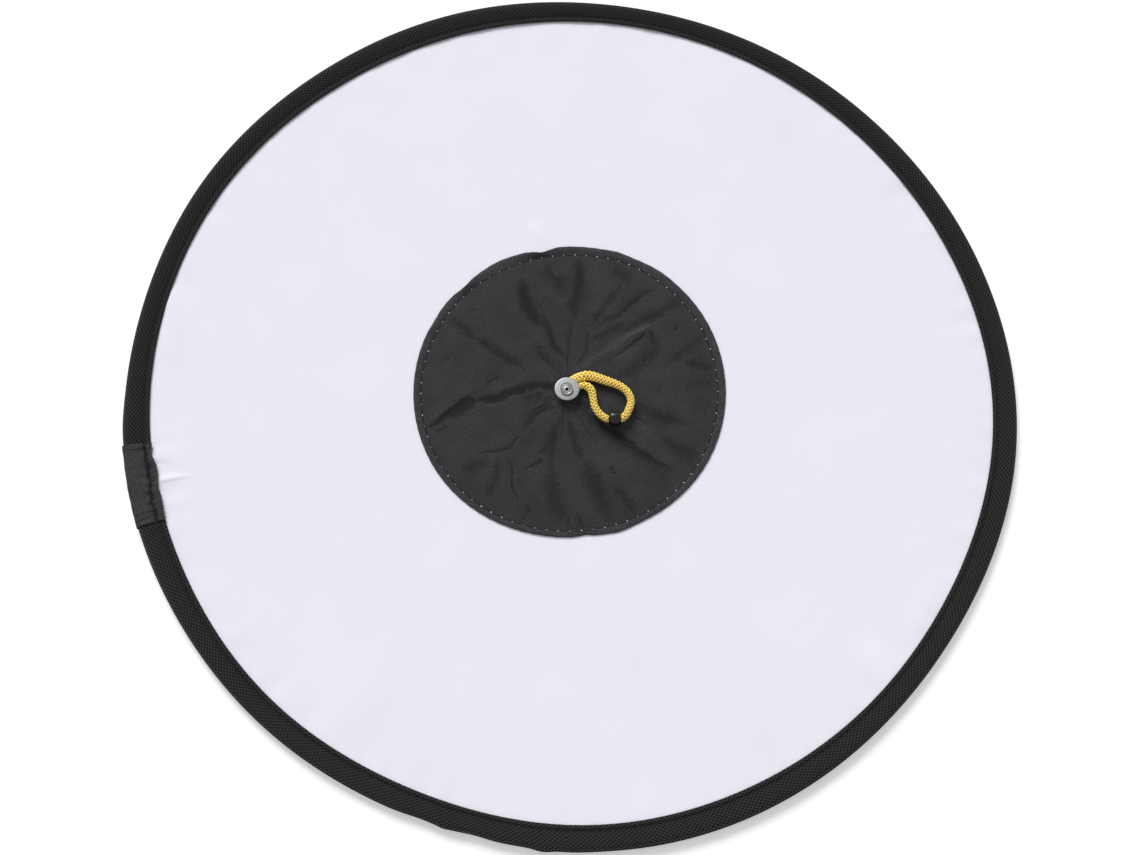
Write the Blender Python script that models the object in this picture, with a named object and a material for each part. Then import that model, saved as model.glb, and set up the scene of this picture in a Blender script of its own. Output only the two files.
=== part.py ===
"""A round pop-up diffuser panel: white cloth on a sprung steel hoop, with a black centre disc and a pull loop.

Metres, +Z up. The panel lies face up on the floor, its rim on z = 0 and its centre on the Z axis. The hoop,
its tape and the cloth are divided at two fold lines beside the centre disc, where the panel bends up into a U.
"""

import math

import bmesh
import bpy
from mathutils import Vector

# Rim: a woven tape folded over the hoop and sewn to the edge of the cloth
PANEL_RADIUS = 0.225
TAPE = 0.0008
RIM_CORNER = 0.0012
CROWN_WIDTH = 0.0050
POCKET_WIDTH = 0.0085
FLANGE_WIDTH = 0.0037
SEAM_ALLOWANCE = 0.0008

# Hoop: a strip of spring steel standing on edge, its ends joined by a splice plate
STRIP_HEIGHT = 0.0032
STRIP_THICKNESS = 0.0008
SPLICE_THICKNESS = 0.0008
SPLICE_LENGTH = 0.052
SPLICE_ANGLE = math.radians(261.0)

# Tab: a folded piece of nylon that covers the ends of the tape
TAB_LENGTH = 0.044
TAB_OVERHANG = 0.0012
TAB_ANGLE = math.radians(192.9)

# Cloth
DIFFUSER = 0.0004
DISC = 0.0004
DISC_RADIUS = 0.0790
FOLD_MARGIN = 0.0070

# Hub: a tubular rivet with a washer on each side
SHANK_RADIUS = 0.00175
RIVET_BORE_RADIUS = 0.0009
HEAD_RADIUS = 0.0031
HEAD_HEIGHT = 0.0012
FOOT_RADIUS = 0.0038
FOOT_HEIGHT = 0.0008
WASHER_RADIUS = 0.00635
FRONT_WASHER = 0.0009
BACK_WASHER = 0.0008
EDGE_ROUND = 0.0002

# Pull loop: a cord caught under the front washer, its ends in a sleeve
CORD_RADIUS = 0.0021
CAUGHT_RADIUS = 0.0012
SLEEVE_RADIUS = 0.0033
SLEEVE_LENGTH = 0.0064
LIFT_REACH = 0.00115

# Gaps: between pieces that touch, and between the rim's face and the fold axis above it
CLEAR = 0.0003
FOLD_RISE = 0.0001

# How finely arcs are divided
ARC_STEP = math.radians(3.0)
TURNED_STEPS = 40

# Heights, from the floor up
POCKET_HALF = STRIP_HEIGHT / 2 + CLEAR
RIM_HALF = POCKET_HALF + TAPE
RIM_TOP = 2 * RIM_HALF
FLANGE_HALF = DIFFUSER / 2 + CLEAR
CLOTH_BACK = RIM_HALF - DIFFUSER / 2
CLOTH_FRONT = RIM_HALF + DIFFUSER / 2
DISC_BACK = CLOTH_FRONT + CLEAR
DISC_FRONT = DISC_BACK + DISC
CAUGHT_HEIGHT = DISC_FRONT + CLEAR + CAUGHT_RADIUS
FRONT_WASHER_BACK = CAUGHT_HEIGHT + CAUGHT_RADIUS + CLEAR
HEAD_BACK = FRONT_WASHER_BACK + FRONT_WASHER + CLEAR
BACK_WASHER_FRONT = CLOTH_BACK - CLEAR
FOOT_FRONT = BACK_WASHER_FRONT - BACK_WASHER - CLEAR
CORD_HEIGHT = DISC_FRONT + CLEAR + CORD_RADIUS
SLEEVE_HEIGHT = DISC_FRONT + CLEAR + SLEEVE_RADIUS

# Radii, from the outside in
POCKET_WALL = PANEL_RADIUS - TAPE
STRIP_OUTER = POCKET_WALL - CLEAR
STRIP_INNER = STRIP_OUTER - STRIP_THICKNESS
SPLICE_OUTER = STRIP_INNER - CLEAR
CROWN_INNER = PANEL_RADIUS - CROWN_WIDTH
SEAM_RADIUS = PANEL_RADIUS - POCKET_WIDTH
FLANGE_INNER = SEAM_RADIUS - FLANGE_WIDTH
DIFFUSER_RADIUS = SEAM_RADIUS + SEAM_ALLOWANCE
SHANK_HOLE_RADIUS = SHANK_RADIUS + CLEAR

# Joint axes
FOLD_X = DISC_RADIUS + FOLD_MARGIN
FOLD_Z = RIM_TOP + FOLD_RISE
LIFT_X = WASHER_RADIUS + LIFT_REACH
LIFT_Z = CORD_HEIGHT + CORD_RADIUS + CLEAR

# The cord's route over the disc, chosen by eye: places from the rivet's axis, and how far each has risen
# from the disc, where the cord lies on it, to the height of the sleeve
CAUGHT_ROUTE = (
    (0.0071, 0.0067), (0.0044, 0.0062), (0.0012, 0.0049), (-0.0019, 0.0034), (-0.0036, 0.0006),
    (-0.0027, -0.0023), (0.0003, -0.0036), (0.0030, -0.0020), (0.0050, 0.0005), (0.0070, 0.0011),
)
UPPER_ROUTE = (
    (0.0079, 0.0069, 0.0), (0.0105, 0.0073, 0.0), (0.0134, 0.0068, 0.0), (0.0165, 0.0058, 0.0),
    (0.0195, 0.0047, 0.0), (0.0225, 0.0036, 0.0), (0.0255, 0.0024, 0.0), (0.0283, 0.0008, 0.0),
    (0.0305, -0.0014, 0.1), (0.0319, -0.0043, 0.3), (0.0322, -0.0074, 0.6), (0.0313, -0.0105, 0.9),
    (0.0297, -0.0136, 1.0), (0.0273, -0.0153, 1.0), (0.02415, -0.0156, 1.0),
)
LOWER_ROUTE = (
    (0.02385, -0.0156, 1.0), (0.0207, -0.0153, 1.0), (0.0183, -0.0139, 1.0), (0.0164, -0.0116, 0.8),
    (0.0149, -0.0089, 0.5), (0.0141, -0.0061, 0.2), (0.0134, -0.0034, 0.0), (0.0121, -0.0009, 0.0),
    (0.0101, 0.0008, 0.0), (0.0078, 0.0012, 0.0),
)
SLEEVE_PLACE = (0.0240, -0.0154)
ROUTE_SAMPLES = 2

TINTS = {
    "diffuser_taffeta": ((0.82, 0.81, 0.90), 0.70, 0.0),
    "centre_nylon": ((0.035, 0.035, 0.037), 0.75, 0.0),
    "binding_tape": ((0.014, 0.014, 0.016), 0.85, 0.0),
    "spring_steel": ((0.30, 0.31, 0.34), 0.35, 1.0),
    "nickel_plate": ((0.55, 0.54, 0.52), 0.30, 1.0),
    "yellow_cord": ((0.86, 0.55, 0.05), 0.80, 0.0),
    "sleeve_rubber": ((0.012, 0.012, 0.013), 0.60, 0.0),
}


def clear_scene():
    for old in list(bpy.data.objects):
        bpy.data.objects.remove(old, do_unlink=True)


def make_material(name):
    tint, roughness, metallic = TINTS[name]
    material = bpy.data.materials.new(name)
    material.use_nodes = True
    shader = material.node_tree.nodes["Principled BSDF"]
    shader.inputs["Base Color"].default_value = (*tint, 1.0)
    shader.inputs["Roughness"].default_value = roughness
    shader.inputs["Metallic"].default_value = metallic
    return material


def make_body(name, place, parent=None):
    """An empty on a joint's axis, which the body's pieces hang from."""
    empty = bpy.data.objects.new(name, None)
    empty.empty_display_size = CORD_RADIUS
    base = Vector(parent["place"]) if parent else Vector()
    empty["place"] = place
    empty.location = Vector(place) - base
    empty.parent = parent
    bpy.context.scene.collection.objects.link(empty)
    return empty


def finish(name, data, body, material):
    """The object whose data is drawn in the panel's frame, with its origin moved onto its body's axis."""
    for vertex in data.vertices:
        vertex.co -= Vector(body["place"])
    data.shade_smooth()
    data.set_sharp_from_angle(angle=math.radians(35))
    data.materials.append(material)
    piece = bpy.data.objects.new(name, data)
    piece.parent = body
    bpy.context.scene.collection.objects.link(piece)
    return piece


def swept(name, profile, start, stop, body, material):
    """A profile of (radius, height) points swept about Z. start and stop give the angle of its ends at a radius.

    The profile runs counter-clockwise with radius to the right and height up.
    """
    middle = sum(radius for radius, _ in profile) / len(profile)
    closed = stop(middle) - start(middle) > 2 * math.pi - 1e-6
    steps = TURNED_STEPS if closed else max(2, math.ceil((stop(middle) - start(middle)) / ARC_STEP))
    mesh = bmesh.new()
    rings = []
    for step in range(steps if closed else steps + 1):
        ring = []
        for radius, height in profile:
            angle = start(radius) + (stop(radius) - start(radius)) * step / steps
            ring.append(mesh.verts.new((radius * math.cos(angle), radius * math.sin(angle), height)))
        rings.append(ring)
    pairs = list(zip(rings, rings[1:]))
    if closed:
        pairs.append((rings[-1], rings[0]))
    for near, far in pairs:
        for index in range(len(profile)):
            after = (index + 1) % len(profile)
            mesh.faces.new((near[index], near[after], far[after], far[index]))
    if not closed:
        mesh.faces.new(list(reversed(rings[0])))
        mesh.faces.new(rings[-1])
    bmesh.ops.recalc_face_normals(mesh, faces=mesh.faces)
    data = bpy.data.meshes.new(name)
    mesh.to_mesh(data)
    mesh.free()
    return finish(name, data, body, material)


def turned(name, profile, body, material):
    return swept(name, profile, lambda radius: 0.0, lambda radius: 2 * math.pi, body, material)


def plate(name, outline, bottom, top, body, material):
    """A flat outline of (x, y) points, drawn out from bottom to top."""
    mesh = bmesh.new()
    face = mesh.faces.new([mesh.verts.new((x, y, bottom)) for x, y in outline])
    raised = bmesh.ops.extrude_face_region(mesh, geom=[face])["geom"]
    corners = [item for item in raised if isinstance(item, bmesh.types.BMVert)]
    bmesh.ops.translate(mesh, verts=corners, vec=(0.0, 0.0, top - bottom))
    bmesh.ops.recalc_face_normals(mesh, faces=mesh.faces)
    data = bpy.data.meshes.new(name)
    mesh.to_mesh(data)
    mesh.free()
    return finish(name, data, body, material)


def cut_hole(piece, radius, low, high, body):
    """Cuts a round hole on the Z axis through a piece."""
    ring = [(radius * math.cos(a), radius * math.sin(a)) for a in full_turn(TURNED_STEPS)]
    cutter = plate(piece.name + "_hole", ring, low, high, body, piece.data.materials[0])
    cutter.hide_render = True
    cutter.display_type = "WIRE"
    hole = piece.modifiers.new("shank hole", "BOOLEAN")
    hole.object = cutter


def full_turn(count):
    return [2 * math.pi * index / count for index in range(count)]


def arc(radius, start, stop):
    """The (x, y) points of an arc about the Z axis, both ends included."""
    steps = max(2, math.ceil(abs(stop - start) / ARC_STEP))
    angles = [start + (stop - start) * index / steps for index in range(steps + 1)]
    return [(radius * math.cos(angle), radius * math.sin(angle)) for angle in angles]


def corner(centre_radius, centre_height, size, start):
    """A quarter round of a profile, in two chords, turning counter-clockwise from the angle start."""
    angles = [start + math.pi / 4 * index for index in range(3)]
    return [(centre_radius + size * math.cos(a), centre_height + size * math.sin(a)) for a in angles]


def ring_profile(inner, outer, bottom, top):
    return [(inner, bottom), (outer, bottom), (outer, top), (inner, top)]


def soft_ring_profile(inner, outer, bottom, top):
    """A washer's section, its two outer edges rounded."""
    size = min(EDGE_ROUND, (top - bottom) / 3)
    return [
        (inner, bottom),
        *corner(outer - size, bottom + size, size, -math.pi / 2),
        *corner(outer - size, top - size, size, 0.0),
        (inner, top),
    ]


def folded_tape_profile(flange_inner):
    """Tape folded round the hoop: a pocket at the rim, then a flange on each side of the cloth."""
    lining = CROWN_INNER + CLEAR
    return [
        (flange_inner, RIM_HALF - FLANGE_HALF - TAPE),
        (SEAM_RADIUS, RIM_HALF - FLANGE_HALF - TAPE),
        (CROWN_INNER, 0.0),
        *corner(PANEL_RADIUS - RIM_CORNER, RIM_CORNER, RIM_CORNER, -math.pi / 2),
        *corner(PANEL_RADIUS - RIM_CORNER, RIM_TOP - RIM_CORNER, RIM_CORNER, 0.0),
        (CROWN_INNER, RIM_TOP),
        (SEAM_RADIUS, RIM_HALF + FLANGE_HALF + TAPE),
        (flange_inner, RIM_HALF + FLANGE_HALF + TAPE),
        (flange_inner, RIM_HALF + FLANGE_HALF),
        (SEAM_RADIUS + TAPE, RIM_HALF + FLANGE_HALF),
        (lining, RIM_HALF + POCKET_HALF),
        (POCKET_WALL, RIM_HALF + POCKET_HALF),
        (POCKET_WALL, RIM_HALF - POCKET_HALF),
        (lining, RIM_HALF - POCKET_HALF),
        (SEAM_RADIUS + TAPE, RIM_HALF - FLANGE_HALF),
        (flange_inner, RIM_HALF - FLANGE_HALF),
    ]


def wing_side(radius):
    """The angle from +X at which a circle meets the wing's side of the fold line."""
    return math.acos((FOLD_X + CLEAR / 2) / radius)


def middle_side(radius):
    """The angle from +X at which a circle meets the middle's side of the fold line."""
    return math.acos((FOLD_X - CLEAR / 2) / radius)


def tab_end(side, gap):
    """The angle of one end of the tab, moved out by a gap along the rim. side is -1 for its upper end."""
    angle = TAB_ANGLE + side * (TAB_LENGTH / 2 + gap) / PANEL_RADIUS
    return lambda radius: angle


def splice_point(offset):
    angle = SPLICE_ANGLE + offset / STRIP_OUTER
    return lambda radius: angle


# The rim between the fold lines: the angles at which each stretch ends, at a radius, and the body it is on
RIM_STRETCHES = {
    "right": (lambda r: -wing_side(r), lambda r: wing_side(r), "right_wing"),
    "top": (lambda r: middle_side(r), lambda r: math.pi - middle_side(r), "middle"),
    "left": (lambda r: math.pi - wing_side(r), lambda r: math.pi + wing_side(r), "left_wing"),
    "bottom": (lambda r: math.pi + middle_side(r), lambda r: 2 * math.pi - middle_side(r), "middle"),
}


def make_binding(bodies, materials):
    tape = folded_tape_profile(FLANGE_INNER)
    for side in ("right", "top", "bottom"):
        start, stop, body = RIM_STRETCHES[side]
        swept("binding_" + side, tape, start, stop, bodies[body], materials["binding_tape"])
    start, stop, body = RIM_STRETCHES["left"]
    left = (bodies[body], materials["binding_tape"])
    swept("binding_left_upper", tape, start, tab_end(-1, CLEAR), *left)
    swept("binding_left_lower", tape, tab_end(1, CLEAR), stop, *left)
    cover = folded_tape_profile(FLANGE_INNER - TAB_OVERHANG)
    swept("joint_tab", cover, tab_end(-1, 0.0), tab_end(1, 0.0), bodies[body], materials["centre_nylon"])


def make_hoop(bodies, materials):
    bottom, top = RIM_HALF - STRIP_HEIGHT / 2, RIM_HALF + STRIP_HEIGHT / 2
    strip = ring_profile(STRIP_INNER, STRIP_OUTER, bottom, top)
    steel = materials["spring_steel"]
    for side in ("right", "top", "left"):
        start, stop, body = RIM_STRETCHES[side]
        swept("hoop_" + side, strip, start, stop, bodies[body], steel)
    start, stop, body = RIM_STRETCHES["bottom"]
    swept("hoop_left_end", strip, start, splice_point(-CLEAR / 2), bodies[body], steel)
    swept("hoop_right_end", strip, splice_point(CLEAR / 2), stop, bodies[body], steel)
    splice = ring_profile(SPLICE_OUTER - SPLICE_THICKNESS, SPLICE_OUTER, bottom, top)
    half = SPLICE_LENGTH / 2
    swept("hoop_splice", splice, splice_point(-half), splice_point(half), bodies[body], steel)


def make_cloth(bodies, materials):
    white = materials["diffuser_taffeta"]
    heights = (CLOTH_BACK, CLOTH_FRONT)
    wing, middle = wing_side(DIFFUSER_RADIUS), middle_side(DIFFUSER_RADIUS)
    right = arc(DIFFUSER_RADIUS, -wing, wing)
    left = arc(DIFFUSER_RADIUS, math.pi - wing, math.pi + wing)
    far = arc(DIFFUSER_RADIUS, middle, math.pi - middle)
    near = arc(DIFFUSER_RADIUS, math.pi + middle, 2 * math.pi - middle)
    plate("diffuser_right", right, *heights, bodies["right_wing"], white)
    plate("diffuser_left", left, *heights, bodies["left_wing"], white)
    centre = plate("diffuser_middle", far + near, *heights, bodies["middle"], white)
    cut_hole(centre, SHANK_HOLE_RADIUS, CLOTH_BACK - TAPE, CLOTH_FRONT + TAPE, bodies["middle"])
    disc = ring_profile(SHANK_HOLE_RADIUS, DISC_RADIUS, DISC_BACK, DISC_FRONT)
    turned("centre_disc", disc, bodies["middle"], materials["centre_nylon"])


def make_hub(bodies, materials):
    nickel = materials["nickel_plate"]
    front = soft_ring_profile(
        SHANK_HOLE_RADIUS, WASHER_RADIUS, FRONT_WASHER_BACK, FRONT_WASHER_BACK + FRONT_WASHER
    )
    turned("front_washer", front, bodies["loop_turn"], nickel)
    back = soft_ring_profile(
        SHANK_HOLE_RADIUS, WASHER_RADIUS, BACK_WASHER_FRONT - BACK_WASHER, BACK_WASHER_FRONT
    )
    turned("back_washer", back, bodies["middle"], nickel)
    dish = (HEAD_RADIUS + RIVET_BORE_RADIUS) / 2
    head_top = HEAD_BACK + HEAD_HEIGHT
    rivet = [
        (RIVET_BORE_RADIUS, FOOT_FRONT - FOOT_HEIGHT),
        *corner(FOOT_RADIUS - EDGE_ROUND, FOOT_FRONT - FOOT_HEIGHT + EDGE_ROUND, EDGE_ROUND, -math.pi / 2),
        (FOOT_RADIUS, FOOT_FRONT),
        (SHANK_RADIUS, FOOT_FRONT),
        (SHANK_RADIUS, HEAD_BACK),
        (HEAD_RADIUS, HEAD_BACK),
        (HEAD_RADIUS, HEAD_BACK + HEAD_HEIGHT / 3),
        (dish, head_top),
        (RIVET_BORE_RADIUS, head_top - HEAD_HEIGHT / 3),
    ]
    turned("rivet", rivet, bodies["middle"], nickel)


def smooth_route(points):
    """Places on a Catmull-Rom curve through the points, both ends included."""
    ends = [2 * points[0] - points[1], *points, 2 * points[-1] - points[-2]]
    places = []
    for before, first, last, after in zip(ends, ends[1:], ends[2:], ends[3:]):
        for step in range(ROUTE_SAMPLES):
            t = step / ROUTE_SAMPLES
            bend = 2 * before - 5 * first + 4 * last - after
            twist = 3 * (first - last) + after - before
            places.append(first + t * ((last - before) + t * (bend + t * twist)) / 2)
    return [*places, points[-1]]


def tube(name, points, radius, body, material):
    curve = bpy.data.curves.new(name, "CURVE")
    curve.dimensions = "3D"
    curve.bevel_depth = radius
    curve.bevel_resolution = 2
    curve.use_fill_caps = True
    route = smooth_route(points)
    spline = curve.splines.new("POLY")
    spline.points.add(len(route) - 1)
    for point, place in zip(spline.points, route):
        point.co = (*(place - Vector(body["place"])), 1.0)
    curve.materials.append(material)
    piece = bpy.data.objects.new(name, curve)
    piece.parent = body
    bpy.context.scene.collection.objects.link(piece)


def make_pull_loop(bodies, materials):
    yellow = materials["yellow_cord"]
    caught = [Vector((x, y, CAUGHT_HEIGHT)) for x, y in CAUGHT_ROUTE]
    tube("cord_bight", caught, CAUGHT_RADIUS, bodies["loop_turn"], yellow)

    rise = SLEEVE_HEIGHT - CORD_HEIGHT
    for name, route in (("pull_cord_upper", UPPER_ROUTE), ("pull_cord_lower", LOWER_ROUTE)):
        points = [Vector((x, y, CORD_HEIGHT + share * rise)) for x, y, share in route]
        tube(name, points, CORD_RADIUS, bodies["pull_loop"], yellow)

    wall = soft_ring_profile(CORD_RADIUS + CLEAR, SLEEVE_RADIUS, -SLEEVE_LENGTH / 2, SLEEVE_LENGTH / 2)
    sleeve = turned("cord_sleeve", wall, bodies["middle"], materials["sleeve_rubber"])
    sleeve.parent = bodies["pull_loop"]
    sleeve.location = Vector((*SLEEVE_PLACE, SLEEVE_HEIGHT)) - Vector(bodies["pull_loop"]["place"])
    sleeve.rotation_euler = (0.0, math.pi / 2, 0.0)


def main():
    clear_scene()
    materials = {name: make_material(name) for name in TINTS}
    middle = make_body("middle", (0.0, 0.0, 0.0))
    loop_turn = make_body("loop_turn", (0.0, 0.0, 0.0), middle)
    bodies = {
        "middle": middle,
        "left_wing": make_body("left_wing", (-FOLD_X, 0.0, FOLD_Z), middle),
        "right_wing": make_body("right_wing", (FOLD_X, 0.0, FOLD_Z), middle),
        "loop_turn": loop_turn,
        "pull_loop": make_body("pull_loop", (LIFT_X, 0.0, LIFT_Z), loop_turn),
    }
    make_binding(bodies, materials)
    make_hoop(bodies, materials)
    make_cloth(bodies, materials)
    make_hub(bodies, materials)
    make_pull_loop(bodies, materials)


main()
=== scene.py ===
import math

import bmesh
import bpy
import numpy as np
from mathutils import Matrix, Quaternion, Vector, noise


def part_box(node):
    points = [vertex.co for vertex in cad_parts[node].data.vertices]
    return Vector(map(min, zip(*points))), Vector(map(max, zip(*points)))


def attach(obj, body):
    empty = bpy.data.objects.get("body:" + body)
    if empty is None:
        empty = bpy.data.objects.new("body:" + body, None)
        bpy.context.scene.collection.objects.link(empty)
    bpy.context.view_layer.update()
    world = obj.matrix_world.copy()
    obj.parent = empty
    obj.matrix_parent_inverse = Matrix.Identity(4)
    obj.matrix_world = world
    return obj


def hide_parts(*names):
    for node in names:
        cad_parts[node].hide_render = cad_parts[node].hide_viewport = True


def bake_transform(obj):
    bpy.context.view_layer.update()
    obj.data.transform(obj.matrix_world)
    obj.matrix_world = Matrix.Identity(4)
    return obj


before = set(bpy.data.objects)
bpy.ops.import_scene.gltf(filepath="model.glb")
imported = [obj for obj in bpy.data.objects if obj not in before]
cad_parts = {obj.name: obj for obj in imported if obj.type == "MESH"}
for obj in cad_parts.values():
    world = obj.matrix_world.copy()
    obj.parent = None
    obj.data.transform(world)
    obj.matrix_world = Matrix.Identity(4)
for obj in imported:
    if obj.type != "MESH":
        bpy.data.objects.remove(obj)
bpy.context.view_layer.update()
print("frame loaded:", len(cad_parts), "nodes")

mm = 0.001  # shapes are worked out in millimetres and written to the meshes in metres
sharpAngle = math.radians(50)  # an edge bent by more than this stays sharp
waveRepeat = 0.314  # a wave texture of scale 1 repeats after this length


def nodeBox(name):
    low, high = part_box(name)
    return np.array(low) / mm, np.array(high) / mm


# what the frame gives, in millimetres
panelRadius = nodeBox("binding_right")[1][0]
rimTop = nodeBox("binding_top")[1][2]
clothBack, clothFront = nodeBox("diffuser_middle")[0][2], nodeBox("diffuser_middle")[1][2]
discRadius = nodeBox("centre_disc")[1][0]
discBack, discFront = nodeBox("centre_disc")[0][2], nodeBox("centre_disc")[1][2]
washerRadius = nodeBox("front_washer")[1][0]


def srgb(text):
    parts = [int(text[i:i + 2], 16) / 255 for i in (0, 2, 4)]
    return (*[p / 12.92 if p <= 0.04045 else ((p + 0.055) / 1.055) ** 2.4 for p in parts], 1.0)


def plug(tree, node, inputs):
    for key, value in inputs.items():
        if isinstance(value, bpy.types.Node):
            value = value.outputs[0]
        if isinstance(value, bpy.types.NodeSocket):
            tree.links.new(value, node.inputs[key])
        else:
            node.inputs[key].default_value = value


def addNode(tree, kind, inputs=None, **settings):
    node = tree.nodes.new(kind)
    for name, value in settings.items():
        setattr(node, name, value)
    plug(tree, node, inputs or {})
    return node


def newMaterial(name):
    material = bpy.data.materials.new(name)
    material.use_nodes = True
    tree = material.node_tree
    return material, tree, tree.nodes["Principled BSDF"]


def meshObject(name, points, faces, material, run=None):
    mesh = bpy.data.meshes.new(name)
    mesh.from_pydata((np.asarray(points) * mm).tolist(), [], faces)
    if run is not None:  # place on the flat cloth, tape or strand, in millimetres
        layer = mesh.attributes.new("run", "FLOAT_VECTOR", "POINT")
        layer.data.foreach_set("vector", np.asarray(run, np.float32).ravel())
    tidy = bmesh.new()
    tidy.from_mesh(mesh)
    bmesh.ops.recalc_face_normals(tidy, faces=tidy.faces)
    tidy.to_mesh(mesh)
    tidy.free()
    mesh.shade_smooth()
    mesh.set_sharp_from_angle(angle=sharpAngle)
    mesh.materials.append(material)
    piece = bpy.data.objects.new(name, mesh)
    bpy.context.scene.collection.objects.link(piece)
    return piece


def gridFaces(rows, columns, wrapRows, wrapColumns, first=0):
    faces = []
    for i in range(rows if wrapRows else rows - 1):
        for j in range(columns if wrapColumns else columns - 1):
            a, b = i * columns + j, i * columns + (j + 1) % columns
            k = (i + 1) % rows * columns
            faces.append((first + a, first + b, first + k + (j + 1) % columns, first + k + j))
    return faces


def sheetSolid(name, top, bottom, material, run, wrapRows=False):
    rows, half = len(top), top.shape[0] * top.shape[1]
    faces, borders = [], []
    for grid, first in ((top, 0), (bottom, half)):
        columns = grid.shape[1]
        faces += gridFaces(rows, columns, wrapRows, False, first)
        index = first + np.arange(rows * columns).reshape(rows, columns)
        border = [index[:, 0], index[:, -1]]
        border = [np.append(b, b[0]) for b in border] if wrapRows else border + [index[0], index[-1]]
        borders.append(border)
    for upper, lower in zip(*borders):
        faces += [(a, b, d, c) for a, b, c, d in zip(upper, upper[1:], lower, lower[1:])]
    points = np.concatenate([top.reshape(-1, 3), bottom.reshape(-1, 3)])
    return meshObject(name, points, faces, material, np.concatenate([run.reshape(-1, 3), runBelow(run, bottom)]))


def runBelow(run, bottom):  # the underside takes the pattern's places of the columns that it keeps
    columns = bottom.shape[1]
    kept = np.arange(columns) if columns == run.shape[1] else np.array([0, run.shape[1] - 1])
    return run[:, kept].reshape(-1, 3)


def turnedSolid(name, profile, steps, material, axis="z", centre=(0.0, 0.0, 0.0)):
    profile = np.array(profile)  # a closed outline of (radius, height)
    turn = np.linspace(0, 2 * math.pi, steps, endpoint=False)[:, None]
    flat = [profile[:, 0] * np.cos(turn), profile[:, 0] * np.sin(turn), profile[:, 1] + 0 * turn]
    if axis == "x":
        flat = [flat[2], flat[0], flat[1]]
    points = np.stack(flat, 2) + np.array(centre)
    faces = gridFaces(steps, len(profile), True, True)
    return meshObject(name, points.reshape(-1, 3), faces, material)


def smoothLine(points, samples):
    points = np.array(points, float)  # Catmull-Rom through the points, both ends kept
    ends = np.concatenate([[2 * points[0] - points[1]], points, [2 * points[-1] - points[-2]]])
    line = []
    for a, b, c, d in zip(ends, ends[1:], ends[2:], ends[3:]):
        for t in np.arange(samples) / samples:
            line.append(b + t * ((c - a) + t * ((2 * a - 5 * b + 4 * c - d) + t * (3 * (b - c) + d - a))) / 2)
    return np.array([*line, points[-1]])


def alongLine(line):
    return np.concatenate([[0], np.cumsum(np.linalg.norm(np.diff(line, axis=0), axis=1))])


def bump(distance, width):
    return np.exp(-((distance / width) ** 2))


def roundMarks(angle, marks):  # marks round the panel: angle, size, width
    return sum(size * bump(np.angle(np.exp(1j * (angle - math.radians(at)))), math.radians(width))
               for at, size, width in marks)


def waveSum(angle, waves):  # waves round the panel: size, how many, angle of a crest
    return sum(size * np.cos(count * (angle - math.radians(at))) for size, count, at in waves)


foldSet = {
    "samples": 4,  # between two points of a line
    "level": 1.35,  # above 1 the middle of a fold keeps its full height
    "narrow": 0.4,  # share of the width that is left at its ends
    "powers": (1.1, 2.0),  # a narrow fold comes to a line, a wide one has a flat bottom
    "fade": 0.8,
}


def foldHeights(x, y, folds):  # each fold: height, half width to its left and right, where it is strongest, its line
    s = foldSet
    total = np.zeros_like(x)
    for height, left, right, peak, *line in folds:
        line = smoothLine(np.reshape(line, (-1, 2)), s["samples"])
        lengths = alongLine(line)
        best, side, along = np.full_like(x, 1e9), np.zeros_like(x), np.zeros_like(x)
        for a, b, start in zip(line, line[1:], lengths):
            step = b - a
            size = np.linalg.norm(step)
            t = np.clip(((x - a[0]) * step[0] + (y - a[1]) * step[1]) / size**2, 0, 1)
            dx, dy = x - a[0] - t * step[0], y - a[1] - t * step[1]
            far = np.hypot(dx, dy)
            near = far < best
            best = np.where(near, far, best)
            side = np.where(near, step[0] * dy - step[1] * dx, side)
            along = np.where(near, (start + t * size) / lengths[-1], along)
        arch = np.sin(math.pi * np.clip(along, 0, 1) ** (math.log(0.5) / math.log(peak)))
        taper = np.clip(s["level"] * arch, 0, 1)
        width = np.where(side > 0, left, right) * (s["narrow"] + (1 - s["narrow"]) * taper)
        total += height * taper ** s["fade"] * np.exp(-((best / width) ** np.clip(width, *s["powers"])))
    return total


def grain(x, y, size, seed):
    flat = [noise.noise((a / size, b / size, seed)) for a, b in zip(x.ravel(), y.ravel())]
    return np.array(flat).reshape(x.shape)


def crossWeave(tree, place, spacing, warp):  # two crossed sets of threads
    sets = []
    for turn in (0.0, math.pi / 2):
        turned = addNode(tree, "ShaderNodeMapping", {"Vector": place, "Rotation": (0, 0, turn)})
        wave = addNode(tree, "ShaderNodeTexWave", {"Vector": turned, "Scale": waveRepeat / spacing, **warp})
        sets.append(wave.outputs["Fac"])
    return addNode(tree, "ShaderNodeMath", {0: sets[0], 1: sets[1]}, operation="MULTIPLY")


def setStops(ramp, stops):
    marks = ramp.color_ramp.elements
    for at, colour in stops[1:-1]:
        marks.new(at)
    for mark, (at, colour) in zip(marks, stops):
        mark.position, mark.color = at, colour


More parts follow.
